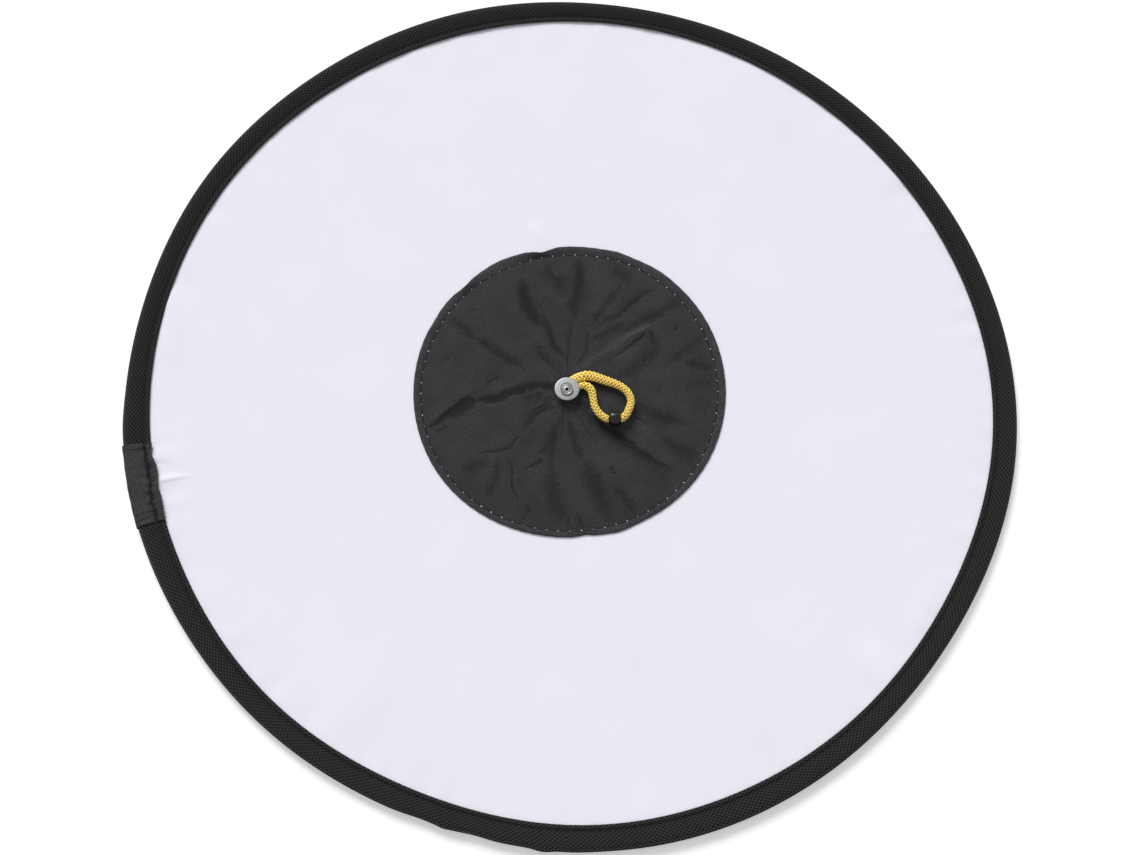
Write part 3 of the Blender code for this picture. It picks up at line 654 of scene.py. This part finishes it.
discSet = {  # black nylon, hemmed, topstitched and creased
    "hole": 2.1,
    "outline": ((2.04, 1, 52), (0.78, 2, 8), (0.16, 3, -32), (0.24, 4, -43)),  # size, waves, angle of a crest
    "outlineMean": -0.29,  # from the frame's disc
    "dents": ((99.5, -1.74, 4.0), (117, 0.64, 7.0), (133.5, -0.9, 4.0), (151, -0.36, 3.5), (277, -0.82, 3.0),
              (290, 0.8, 5.0), (54, 0.37, 6.0), (71, 0.5, 4.0)),  # angle, depth, width: the hem bulges and is drawn in
    "seam": (3.95, 0.98, 85),  # from the smooth outline: on average, how much that varies, and where it is widest
    "seamBulge": ((67, 0.7, 14.0),),  # angle, size, width
    "stitches": 81,
    "firstDot": 0.94,  # in stitches, from +X
    # painted shade and light at places on the hem: angle, shade, width
    "hemPaintedShade": ((101, 1.5, 4.5), (133, 1.0, 3.5), (120, -0.4, 8.0), (277, 0.6, 1.2), (271, 0.4, 1.0)),
    # painted light over the whole hem: below 0 it is drawn lighter
    "hemShade": -0.2,
    "creaseShade": 1.15,  # how soon painted shade darkens a crease
    "valleyShade": 1.1,  # how soon painted shade darkens a hollow
    "sweep": 36,  # the loop lies and turns inside this radius, so the cloth keeps low there
    "slack": (0.28, 0.6), "rise": (0.2, 1.0),  # how far cloth and ridges stand off, in the sweep and outside it
    "columns": 8, "rings": 128,  # columns to a stitch, rings inside the seam
    "besideSeam": (-1.2, -0.8, -0.5, -0.25, 0.0, 0.25, 0.5),  # rings beside it
    "onHem": (0.3, 0.5, 0.68, 0.82, 0.92, 0.98, 1.0),  # rings at these shares of the hem
    "crinkle": ((0.2, 24, 4.1), (0.15, 11, 7.7), (0.08, 5, 2.2), (0.035, 2.4, 6.4)),  # height, size, seed
    "wobble": ((1.1, 7, 0), (0.35, 2.6, 3)),  # no crease runs smoothly: how far, size, seed
    "folds": (
        (-1.5, 3.6, 3.6, 0.74, -72, -21.5, -64.5, -15.5, -58, -11.5, -51.5, -7, -46.5, -3.5),
        (-0.9, 0.9, 0.9, 0.3, -72.5, -21.5, -68.5, -19, -64, -16, -58, -12),
        (-1.4, 2, 2, 0.55, -49.5, -6, -43.5, -5, -37, -4, -30.5, -1.5, -24, 0.5, -16, 4),
        (-1.2, 1.2, 2.4, 0.4, -20.5, 1.5, -15.5, 4.5, -11, 3.5, -5, 1.5),
        (0.6, 4.7, 1, 0.6, -74, -19, -65.5, -13.5, -58.5, -8.5, -52.5, -3.5, -48.5, 0, -45, -2),
        (-0.5, 2.2, 2.5, 0.5, -23, -4, -17, -3.5, -10.5, -1.5),
        (-0.38, 1.4, 2.5, 0.5, -67, -21.5, -59, -18),
        (-0.5, 2.3, 2.3, 0.45, -61, 42.5, -55.5, 36, -48.5, 29.5, -44.5, 26.5),
        (-0.65, 2.9, 2.5, 0.38, -46, 28, -38.5, 22.5, -32, 18.5, -25, 13.5, -21.5, 8.5),
        (-0.31, 1.4, 1.4, 0.5, -52.5, 41.5, -46, 44.5),
        (-0.31, 2.3, 2.3, 0.5, -67, 15.5, -59, 18.5),
        (-0.38, 2.2, 2.2, 0.5, -18, 26, -12, 19.5, -4.5, 13),
        (-0.44, 1, 1, 0.4, -41, 2, -38, 6, -32.5, 8),
        (-1, 3.8, 3.6, 0.5, -23, 63, -22.5, 54, -20, 45, -16, 38, -11.5, 33.5),
        (-0.8, 1.5, 2.3, 0.5, -13, 40.5, -10, 34.5, -8, 28, -5.5, 23, 0, 17),
        (-0.6, 4.2, 4, 0.35, -11, 70, -7, 63, -3.5, 56.5, -1.5, 49),
        (-0.75, 3.8, 3.6, 0.35, 6, 72.5, 6, 60.5, 5, 50.5, 3, 40.5, 1, 31.5),
        (-0.55, 4.6, 4, 0.4, 24, 68, 29, 63, 33.5, 58.5),
        (-0.5, 2.8, 2.2, 0.5, 28, 58, 21.5, 48.5, 16.5, 41.5, 12, 33.5),
        (-0.56, 1.3, 2.3, 0.55, 48.5, 59, 37, 49.5, 27.5, 41.5, 20.5, 37.5, 13, 33.5),
        (-0.5, 3.7, 1.4, 0.4, 30, 37.5, 24, 34, 18, 31, 11.5, 26),
        (-0.56, 2.5, 3.1, 0.3, 60.5, 50.5, 53, 45.5, 45, 40.5, 37, 36, 26.5, 29),
        (0.55, 1.6, 1.6, 0.7, 2, 8.5, 12.5, 16, 24, 24, 35.5, 31.5, 45, 36),
        (-0.8, 0.7, 1.4, 0.75, 15, 12, 21.5, 16.5, 28.5, 22, 34.5, 26.5, 40.5, 32.5),
        (-0.5, 2.3, 2.3, 0.4, 41.5, 32.5, 44, 28, 47, 23.5),
        (-0.5, 3.7, 3.7, 0.4, 49, 25.5, 42.5, 19, 33, 11.5, 24.5, 5),
        (-0.44, 1, 1, 0.5, 57, 37.5, 55.5, 31.5),
        (-0.38, 2.5, 2.5, 0.4, 72, 31, 63, 23.5, 53.5, 16.5, 46.5, 11.5),
        (-0.56, 2.8, 2.8, 0.55, 59, 16, 65, 14.5, 72, 12.5, 77.5, 11.5),
        (-0.38, 3.9, 3.9, 0.6, 60, 0.5, 67, 3.5, 77.5, 6.5),
        (-0.6, 3.4, 3.8, 0.35, 33.5, -7.5, 43, -12, 52, -15.5, 63, -18.5),
        (-0.5, 1.1, 1.1, 0.4, 33.5, -14, 38, -16, 42.5, -17.5),
        (-0.5, 3.4, 3.7, 0.4, 48, -24, 55, -30, 62, -33.5, 70, -35),
        (-0.85, 1, 5, 0.5, 3.5, -6.5, 13.5, -14, 26, -22.5, 36, -30.5, 46, -37.5, 55.5, -43.5),
        (-0.35, 4, 4.4, 0.5, 40.5, -41.5, 47, -46, 54.5, -49.5),
        (-0.7, 1.4, 1.5, 0.5, 4, -4.5, 8.5, -7.5, 12.5, -11.5),
        (-0.56, 3.4, 3.1, 0.45, 22.5, -49.5, 27, -54.5, 31.5, -60.5, 35, -66),
        (-0.38, 0.9, 0.9, 0.5, 21, -39.5, 24.5, -44),
        (-0.7, 2.5, 1.1, 0.65, -1, -10.5, 2, -21, 4, -28.5, 8, -37),
        (-0.6, 4.4, 4.2, 0.42, 8.5, -36, 12, -43, 14, -50, 16.5, -57, 19.5, -65, 22, -71),
        (-0.6, 4.6, 4.6, 0.6, -8.5, -38.5, -7.5, -46.5, -6.5, -54, -4.5, -62, -1, -69),
        (-0.44, 1.1, 2.9, 0.6, -6, -15, -7, -25, -10, -31, -15.5, -34),
        (-0.6, 1.2, 2.4, 0.55, -3.5, -7.5, -10, -10, -14.5, -12, -18.5, -16.5, -22.5, -22),
        (-0.55, 1, 1.2, 0.6, -21, -20, -24.5, -25, -28, -29, -31.5, -31, -36, -32.5, -44, -33),
        (-0.25, 2.8, 2.8, 0.5, -16, -20.5, -19, -25.5, -23.5, -29.5),
        (-0.38, 3.1, 3.7, 0.5, -37, -36.5, -45, -40, -53, -44.5),
        (-0.5, 2.9, 2.5, 0.55, -34, -33.5, -35, -40, -35.5, -46.5, -38, -52, -41.5, -57),
        (-0.45, 0.8, 1, 0.3, -29, -36.5, -27.5, -41, -27, -45.5, -26.5, -50.5, -24.5, -56.5, -24, -62),
        (-0.6, 1, 1.4, 0.75, -26, -42.5, -21, -41, -16, -38.5, -11.5, -35),
        (-0.44, 1.1, 1.1, 0.5, -18, -59.5, -20.5, -64, -23, -68),
        (-0.45, 1.2, 1.2, 0.4, 2, 36, 0.5, 21, -0.5, 8),
        (-0.4, 1.8, 1.8, 0.35, -8.5, -42, -6, -25, -3, -10),
        (-0.32, 1.4, 1, 0.4, 11.5, 33.5, 10, 23.5, 6, 15, 2, 8.5),
        (-0.35, 0.9, 0.9, 0.5, -16.5, 23, -10.5, 16.5, -3, 9),
        (-0.3, 0.9, 0.9, 0.5, 16, -29, 8, -17.5, 2.5, -8.5),
        (-0.35, 1, 0.8, 0.5, -3, -27, -2, -18, -1, -9),
        (-0.3, 0.9, 0.9, 0.5, -20.5, -13.5, -11.5, -7.5, -5, -3.5),
        (-0.6, 0.9, 0.9, 0.35, 1, -77, 1, -71, 0, -64),
        (0.8, 1.1, 1.1, 0.35, 4, -77, 4, -71, 3, -65),
        (-0.6, 0.9, 0.9, 0.35, 7.5, -77, 7, -71, 6, -64),
        (0.6, 1, 1.4, 0.5, -7.5, 70, -6, 66, -4, 61),
    ),
    "pale": (  # painted highlights: places drawn lighter where they would catch more light
        (0.6, 2, 1.8, 0.45, 2, 9, 12.5, 16.5, 24, 24, 35.5, 31.5, 45.5, 36),
        (0.35, 1.5, 1.3, 0.75, 12.5, 16.5, 24, 24, 35.5, 31.5, 46, 36),
        (0.18, 6, 6, 0.45, 16, 72, 17, 57, 15, 42.5),
        (0.18, 2.5, 2.5, 0.5, 51.5, 53, 42.5, 47, 32, 39.5),
        (0.18, 4, 4, 0.5, 39, 26, 32, 20, 24, 14),
        (0.18, 4, 4, 0.5, 27, -21, 36, -20, 46, -22),
        (0.15, 3, 3, 0.5, 46, -28, 51.5, -35, 58, -42.5),
        (0.15, 4, 4, 0.5, 34, 6.5, 44.5, 9, 56, 12.5),
        (0.12, 8, 8, 0.5, -67, -26, -54, -26, -38, -20.5),
    ),
}


def discOutline(angle):
    return discRadius + discSet["outlineMean"] + waveSum(angle, discSet["outline"])


def discEdge(angle):
    return discOutline(angle) + roundMarks(angle, discSet["dents"]) + 0.05 * np.cos(discSet["stitches"] * angle)


def seamRadius(angle):
    mean, varies, at = discSet["seam"]
    drawn = mean + varies * np.cos(angle - math.radians(at))
    return discOutline(angle) - drawn + roundMarks(angle, discSet["seamBulge"])


def seamLine(shift):
    count = discSet["stitches"] * 6
    angle = np.linspace(0, 2 * math.pi, count, endpoint=False) + shift * 2 * math.pi / discSet["stitches"]
    return seamRadius(angle) * np.cos(angle), seamRadius(angle) * np.sin(angle), angle


def discFolds(x, y, radius, angle):
    s = discSet
    crinkle = sum(height * grain(x, y, size, seed) for height, size, seed in s["crinkle"])
    star = 0.35 * grain(5 * np.cos(angle) + 0 * radius, 5 * np.sin(angle) + 0 * radius, 1.0, 9.3)
    moved = [sum(far * grain(x, y, size, seed + more) for far, size, more in s["wobble"]) for seed in (1.3, 5.9)]
    return foldHeights(x + moved[0], y + moved[1], s["folds"]), crinkle + star * bump(radius - 8, 16)


def discHeights(x, y, edge, angle):
    s = discSet
    radius = np.hypot(x, y)
    drawn, crinkled = discFolds(x, y, radius, angle)
    folds = drawn + crinkled
    inward = edge - radius
    past = seamRadius(angle) - radius  # inside the seam above 0, the hem below
    free = np.sin(math.pi / 2 * np.clip(past / 14, 0, 1)) ** 1.5 * np.clip((radius - washerRadius + 1) / 4, 0, 1)
    outside = np.clip((radius - s["sweep"]) / 9, 0, 1)
    slack, rise = [inner + (outer - inner) * outside for inner, outer in (s["slack"], s["rise"])]
    most = np.where(folds > 0, rise, slack - 0.03)
    eased = np.where(folds > 0, 0.8, 0.55) * folds
    hem = 0.25 * np.clip(1 - ((inward - 1.6) / 1.8) ** 2, 0, 1) ** 0.5
    groove = -0.14 * bump(past, 0.5) * (0.6 - 0.4 * np.cos(s["stitches"] * angle))
    crush = -0.2 * bump(inward, 0.35)
    return discFront + free * (slack + most * np.tanh(eased / most)) + hem + groove + crush, drawn


# painted shade for the disc: creases, hollows and the seam line drawn darker, the hem lighter, painted marks on the
# hem
def paintedShadeMap(height, drawn, radius, angle):
    s = discSet
    step = np.gradient(radius, axis=1)
    slope = np.gradient(height, axis=1) / step
    along = (np.roll(height, 1, 0) + np.roll(height, -1, 0) - 2 * height) / (radius * angle[1, 0]) ** 2
    crease = s["creaseShade"] * (np.gradient(slope, axis=1) / step + slope / radius + along)
    past = seamRadius(angle) - radius
    hem = np.clip(-past / 0.6, 0, 1)
    valley = s["valleyShade"] * np.maximum(-drawn, 0) * np.clip(past / 3, 0, 1)
    shade = np.tanh(crease) * np.clip((radius - washerRadius) / 4, 0, 1) + valley + 0.4 * bump(past, 0.4)
    return shade + hem * (s["hemShade"] + roundMarks(angle, s["hemPaintedShade"]))


def makeDisc():
    s = discSet
    angle = np.linspace(0, 2 * math.pi, s["stitches"] * s["columns"], endpoint=False)[:, None]
    edge, seam = discEdge(angle), seamRadius(angle)
    inside = s["hole"] + (seam - 1.6 - s["hole"]) * np.linspace(0, 1, s["rings"])
    radius = np.concatenate([inside, seam + s["besideSeam"], seam + (edge - seam) * s["onHem"]], 1)
    x, y = radius * np.cos(angle), radius * np.sin(angle)
    height, drawn = discHeights(x, y, edge, angle + 0 * radius)
    top = np.stack([x, y, height], -1)
    under = top[:, [0, -1]] * (1, 1, 0) + (0, 0, discBack)
    # the third place carries the disc's painted shade, less its painted highlights
    run = np.stack([x, y, paintedShadeMap(height, drawn, radius, angle) - foldHeights(x, y, s["pale"])], -1)
    piece = sheetSolid("centreDisc", top, under, nylon, run, wrapRows=True)
    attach(piece, "middle")
    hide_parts("centre_disc")


def makeDiscSeam():
    s = discSet
    for kind, shift, lift, thread, slot in (("discStitches", 0.5, 0.06, blackThread, "centre_nylon"),
                                            ("discNeedleDots", 0.0, 0.1, paleThread, "diffuser_taffeta")):
        x, y, angle = seamLine(s["firstDot"] + shift)
        height = discHeights(x, y, discEdge(angle), angle)[0] + lift
        line = np.stack([x, y, height], -1)
        pitch = alongLine(np.concatenate([line, line[:1]]))[-1] / s["stitches"]
        piece = laySeam(kind, [line], pitch, thread, closed=True)
        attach(piece, "middle")
    back = np.stack([x, y, 0 * x + clothBack + 0.1], -1)  # the same seam seen on the back of the diffuser
    piece = laySeam("discStitchesBack", [back], pitch, paleThread, closed=True)
    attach(piece, "middle")


cordSet = {  # a braided cord caught under the washer, its ends in a sleeve
    "caught": ((7.1, 6.7), (4.4, 6.2), (1.2, 4.9), (-1.9, 3.4), (-3.6, 0.6),
               (-2.7, -2.3), (0.3, -3.6), (3.0, -2.0), (5.0, 1.0), (7.0, 2.1)),
    "upper": ((7.9, 6.9, 0.0), (10.5, 7.3, 0.0), (13.4, 6.8, 0.0), (16.5, 5.8, 0.0), (19.5, 4.7, 0.0),
              (22.5, 3.6, 0.0), (25.5, 2.4, 0.0), (28.3, 0.8, 0.0), (30.5, -1.4, 0.1), (31.9, -4.3, 0.3),
              (32.2, -7.4, 0.6), (31.3, -10.5, 0.9), (29.7, -13.8, 1.0), (27.3, -15.7, 1.0), (24.15, -16.1, 1.0)),
    "lower": ((23.85, -16.1, 1.0), (20.2, -15.9, 1.0), (17.4, -14.3, 1.0), (15.3, -11.8, 0.8), (13.9, -8.9, 0.5),
              (13.4, -6.0, 0.2), (12.9, -3.1, 0.0), (12.2, -0.5, 0.0), (10.4, 1.4, 0.0), (7.8, 2.1, 0.0)),
    "strands": 4,  # each way round
    "lead": 7.6,
    "turn": math.pi / 8,  # so that two rows of gaps face up
    "cover": (0.54, 0.66),  # share of the round that the strands of each way fill, so the gaps lean
    "ring": 1.46, "weave": 0.28, "strandHalf": 0.4, "core": 1.05,
    # how wide it lies: place along it, share
    "wide": ((0, 0.95), (16, 0.95), (22, 1.1), (25, 1.1), (28, 0.8), (51, 0.8), (55, 1.3), (63, 1.28), (74, 1.1),
             (80, 1.0)),
    "flat": 0.57,  # under the washer
    "sides": 8,  # of a strand
    "step": 0.35,
}
cordRadius = 2.1
cordLift = sum(spread[0] for spread in (discSet["slack"], discSet["rise"]))  # it lies on the cloth's ridges
cordHeight = nodeBox("pull_cord_upper")[0][2] + cordRadius + cordLift
sleeveHeight = (nodeBox("cord_sleeve")[0][2] + nodeBox("cord_sleeve")[1][2]) / 2 + cordLift
caughtHeight = (nodeBox("cord_bight")[0][2] + nodeBox("cord_bight")[1][2]) / 2


def cordRoute():
    rise = sleeveHeight - cordHeight
    lower, upper = [[(x, y, cordHeight + share * rise, 1.0) for x, y, share in cordSet[arm]]
                    for arm in ("lower", "upper")]
    caught = [(x, y, caughtHeight, cordSet["flat"]) for x, y in reversed(cordSet["caught"])]
    dense = smoothLine([*lower, *caught[1:-1], *upper], 8)
    along = alongLine(dense[:, :3])
    at = np.linspace(0, along[-1], int(along[-1] / cordSet["step"]) + 1)
    return np.stack([np.interp(at, along, dense[:, k]) for k in range(4)], 1), at


cordLine, cordAlong = cordRoute()


def cordFrame():
    tangent = np.gradient(cordLine[:, :3], axis=0)
    tangent /= np.linalg.norm(tangent, axis=1)[:, None]
    across = np.cross(tangent, (0, 0, 1))
    across /= np.linalg.norm(across, axis=1)[:, None]
    return across, np.cross(across, tangent)


def tubeFaces(count, sides, first):
    ends = [tuple(range(at, at + sides)) for at in (first, first + (count - 1) * sides)]
    return gridFaces(count, sides, False, True, first) + ends


def cordTube(angle, radius, across, up):
    flat = cordLine[:, 3][:, None]  # the washer presses the cord flat and wide
    wide = np.interp(cordAlong, *np.array(cordSet["wide"]).T)[:, None]
    side = (radius * np.cos(angle) * wide)[..., None] * across[:, None]
    rise = (radius * np.sin(angle) * flat)[..., None] * up[:, None]
    return cordLine[:, None, :3] + side + rise


def makeCord():
    s = cordSet
    across, up = cordFrame()
    sides, count = s["sides"], len(cordLine)
    around = np.linspace(0, 2 * math.pi, sides, endpoint=False)[None]
    along = cordAlong[:, None]
    points, faces, runs = [], [], []
    for way, cover in zip((1, -1), s["cover"]):
        halfTurn = cover * math.pi / s["strands"]
        lift = s["ring"] + way * s["weave"] * np.cos(2 * math.pi * s["strands"] * along / s["lead"])
        for strand in range(s["strands"]):
            middle = way * 2 * math.pi * along / s["lead"] + 2 * math.pi * strand / s["strands"] + s["turn"]
            angle = middle + halfTurn * np.cos(around)
            radius = lift + s["strandHalf"] * np.sin(around)
            first = len(points) * count * sides
            points.append(cordTube(angle, radius, across, up).reshape(-1, 3))
            faces += tubeFaces(count, sides, first)
            place = along * 1.5 + 90 * strand + 40 * way  # so that no two strands have the same fibres
            # how far a strand lies on top, for the painted shade where it dives
            over = (lift - s["ring"]) / s["weave"]
            runs.append(np.stack(np.broadcast_arrays(place, np.cos(around), over), -1).reshape(-1, 3))
    strands = meshObject("pullCord", np.concatenate(points), faces, yellowYarn, np.concatenate(runs))
    fill = cordTube(around + 0 * along, s["core"] + 0 * (around + along), across, up)
    run = np.stack(np.broadcast_arrays(along, around, 0.0), -1)
    core = meshObject("pullCordCore", fill.reshape(-1, 3), tubeFaces(count, sides, 0), cordCore, run.reshape(-1, 3))
    for piece in (strands, core):
        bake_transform(piece)
    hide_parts("cord_bight", "pull_cord_upper", "pull_cord_lower")
    return strands, core


sleeveSet = {"length": 6.1, "radius": 3.45, "bore": 2.1, "belly": 0.35, "round": 1.0, "shift": -0.5}


def makeCordSleeve():
    s = sleeveSet
    low, high = nodeBox("cord_sleeve")
    centre = (low + high) / 2 + (0, s["shift"], cordLift)
    half = s["length"] / 2
    outline = [(s["radius"] + s["belly"] * (1 - (x / half) ** 2) - s["round"] * abs(x / half) ** 5, x)
               for x in np.linspace(-half, half, 21)]
    lip = [(s["bore"] + 0.1, half - 0.05), (s["bore"], half - 0.4)]
    outline += lip + [(r, -x) for r, x in reversed(lip)]
    piece = turnedSolid("cordSleeve", outline, 48, sleeveSkin, axis="x", centre=centre)
    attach(piece, "pull_loop")
    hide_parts("cord_sleeve")
    return piece


def roundedRing(inner, outer, low, high, size, dish=0.0):
    turn = np.linspace(0, math.pi / 2, 5)
    outline = [(inner + 0.1, low), (inner, low + 0.1), (inner, high - 0.1 + dish), (inner + 0.1, high + dish)]
    outline += [(inner + (outer - inner) * k, high + dish * (1 - k)) for k in (0.3, 0.55, 0.75)]
    outline += [(outer - size + size * math.sin(t), high - size + size * math.cos(t)) for t in turn]
    outline += [(outer - size + size * math.cos(t), low + size - size * math.sin(t)) for t in turn]
    return outline


hubSet = {  # a washer on each side and a tubular rivet through them
    "hole": 2.6, "round": 0.28,
    "slant": 6,  # degrees
    "rivetShift": (0.0, -0.7, 0.0),
    "headHeight": 1.2,
    # outline of the rivet: radius, height from its foot
    "foot": ((0.62, 0.15), (0.8, 0.0), (3.4, 0.0), (3.7, 0.1), (3.8, 0.35), (3.75, 0.7), (3.6, 0.8), (1.75, 0.8)),
    # and from under its head, over the rolled rim and down into the bore
    "head": ((1.75, 0.0), (3.0, 0.0), (3.12, 0.1), (3.15, 0.3), (3.08, 0.6), (2.92, 0.86), (2.7, 1.05), (2.5, 1.1),
             (2.3, 1.04), (2.12, 0.9), (2.0, 0.8), (1.85, 0.79), (1.65, 0.89), (1.35, 1.0), (1.05, 1.02),
             (0.82, 0.92), (0.68, 0.6), (0.62, 0.0)),
}


def makeHub():
    s = hubSet
    for name, node, body, dish in (("frontWasher", "front_washer", "loop_turn", 0.12),
                                   ("backWasher", "back_washer", "middle", 0.0)):
        low, high = nodeBox(node)
        outline = roundedRing(s["hole"], washerRadius, low[2], high[2], s["round"], dish)
        piece = turnedSolid(name, outline, 96, nickel)
        if name == "frontWasher":  # the cord lies under one side of it, so that it sits aslant
            turn = Matrix.Rotation(math.radians(s["slant"]), 4, (-1, 0.15, 0))
            middle = Matrix.Translation(Vector((0, 0, (low[2] + high[2]) / 2 * mm)))
            piece.data.transform(middle @ turn @ middle.inverted())
        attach(piece, body)
        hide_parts(node)
    low, high = nodeBox("rivet")
    parts = ((s["foot"], low[2]), (s["head"], high[2] - s["headHeight"]))
    outline = [(radius, base + height) for part, base in parts for radius, height in part]
    piece = turnedSolid("tubularRivet", outline, 72, nickel, centre=s["rivetShift"])
    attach(piece, "middle")
    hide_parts("rivet")


cordPiece, corePiece = makeCord()
sleevePiece = makeCordSleeve()
print("pull loop made: cord", round(float(cordAlong[-1]), 1), "mm long")

replacedTape = {"right": ["binding_right", "binding_bottom"],
                "left": ["binding_left_upper", "binding_left_lower", "binding_top"]}
replacedHoop = {"right": ["hoop_right", "hoop_right_end"], "left": ["hoop_left", "hoop_left_end", "hoop_top"]}
replacedCloth = {"right": ["diffuser_right"], "left": ["diffuser_left", "diffuser_middle"]}
for side in ("right", "left"):
    binding, tapeWidth = makeBinding(side, replacedTape[side])
    bendWithWing(binding)
    bendWithWing(makeHoop(side, replacedHoop[side]))
    makeDiffuser(side, replacedCloth[side])
    makeRimSeam(side)
print("rim and diffuser made")
makeTab()
makeDisc()
makeDiscSeam()
makeHub()
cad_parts["hoop_splice"].data.materials.clear()
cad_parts["hoop_splice"].data.materials.append(steel)
print("tab, disc and hub made")


stageSet = {
    "sky": 0.47,
    "floor": {"half": 4, "grey": 0.82, "glow": 0.3},  # the glow lets it go white in the picture
    "key": {"from": (-0.3, 0.85, 0.62), "spread": 30, "strength": 3.1},  # a broad soft box, far enough to be even
}
cameraSet = {"aim": (0.0015, -0.0182, 0.0), "distance": 0.823, "azimuth": 0.82, "elevation": 72.91, "roll": -0.78,
             "lens": 51.35, "sensor": 36.0}


def makeStage():
    scene = bpy.context.scene
    world = bpy.data.worlds.new("studio sky")
    world.use_nodes = True
    scene.world = world
    tree = world.node_tree
    white = (1, 1, 1, 1)
    sky = tree.nodes["Background"]
    plug(tree, sky, {"Strength": stageSet["sky"], "Color": white})
    seen = addNode(tree, "ShaderNodeBackground", {"Color": white, "Strength": 1.0})
    ray = addNode(tree, "ShaderNodeLightPath").outputs
    some = addNode(tree, "ShaderNodeMath", {0: ray["Is Camera Ray"], 1: ray["Is Glossy Ray"]}, operation="MAXIMUM")
    either = addNode(tree, "ShaderNodeMath", {0: some, 1: ray["Is Transmission Ray"]}, operation="MAXIMUM")
    both = addNode(tree, "ShaderNodeMixShader", {0: either, 1: sky, 2: seen})
    plug(tree, tree.nodes["World Output"], {"Surface": both})

    s = stageSet["floor"]
    material, tree, shader = newMaterial("white studio floor")
    grey = (*[s["grey"]] * 3, 1)
    plug(tree, shader, {"Base Color": grey, "Roughness": 0.9, "Specular IOR Level": 0.0})
    ray = addNode(tree, "ShaderNodeLightPath").outputs
    glow = addNode(tree, "ShaderNodeMath", {0: ray["Is Camera Ray"], 1: s["glow"]}, operation="MULTIPLY")
    lift = addNode(tree, "ShaderNodeEmission", {"Strength": glow})
    total = addNode(tree, "ShaderNodeAddShader", {0: shader, 1: lift})
    plug(tree, tree.nodes["Material Output"], {"Surface": total})
    mesh = bpy.data.meshes.new("studioFloor")
    corners = [(x * s["half"], y * s["half"], 0) for x, y in ((-1, -1), (1, -1), (1, 1), (-1, 1))]
    mesh.from_pydata(corners, [], [(0, 1, 2, 3)])
    mesh.materials.append(material)
    floor = bpy.data.objects.new("studioFloor", mesh)
    scene.collection.objects.link(floor)

    s = stageSet["key"]
    lamp = bpy.data.lights.new("key", "SUN")
    lamp.angle = math.radians(s["spread"])
    lamp.energy = s["strength"]
    key = bpy.data.objects.new("key", lamp)
    key.location = s["from"]
    key.rotation_euler = (-Vector(s["from"])).to_track_quat("-Z", "Y").to_euler()
    scene.collection.objects.link(key)


def makeCamera():
    s = cameraSet
    turn, tilt = math.radians(s["azimuth"]), math.radians(s["elevation"])
    back = Vector((math.sin(turn) * math.cos(tilt), -math.cos(turn) * math.cos(tilt), math.sin(tilt)))
    lens = bpy.data.cameras.new("camera")
    lens.lens = s["lens"]
    lens.sensor_width = s["sensor"]
    lens.clip_start = 0.01
    camera = bpy.data.objects.new("camera", lens)
    camera.location = Vector(s["aim"]) + s["distance"] * back
    camera.rotation_mode = "QUATERNION"
    roll = Quaternion((0, 0, 1), math.radians(s["roll"]))
    camera.rotation_quaternion = (-back).to_track_quat("-Z", "Y") @ roll
    bpy.context.scene.collection.objects.link(camera)
    bpy.context.scene.camera = camera


makeStage()
makeCamera()
bpy.context.scene.view_settings.view_transform = "Standard"
print("stage and camera made")
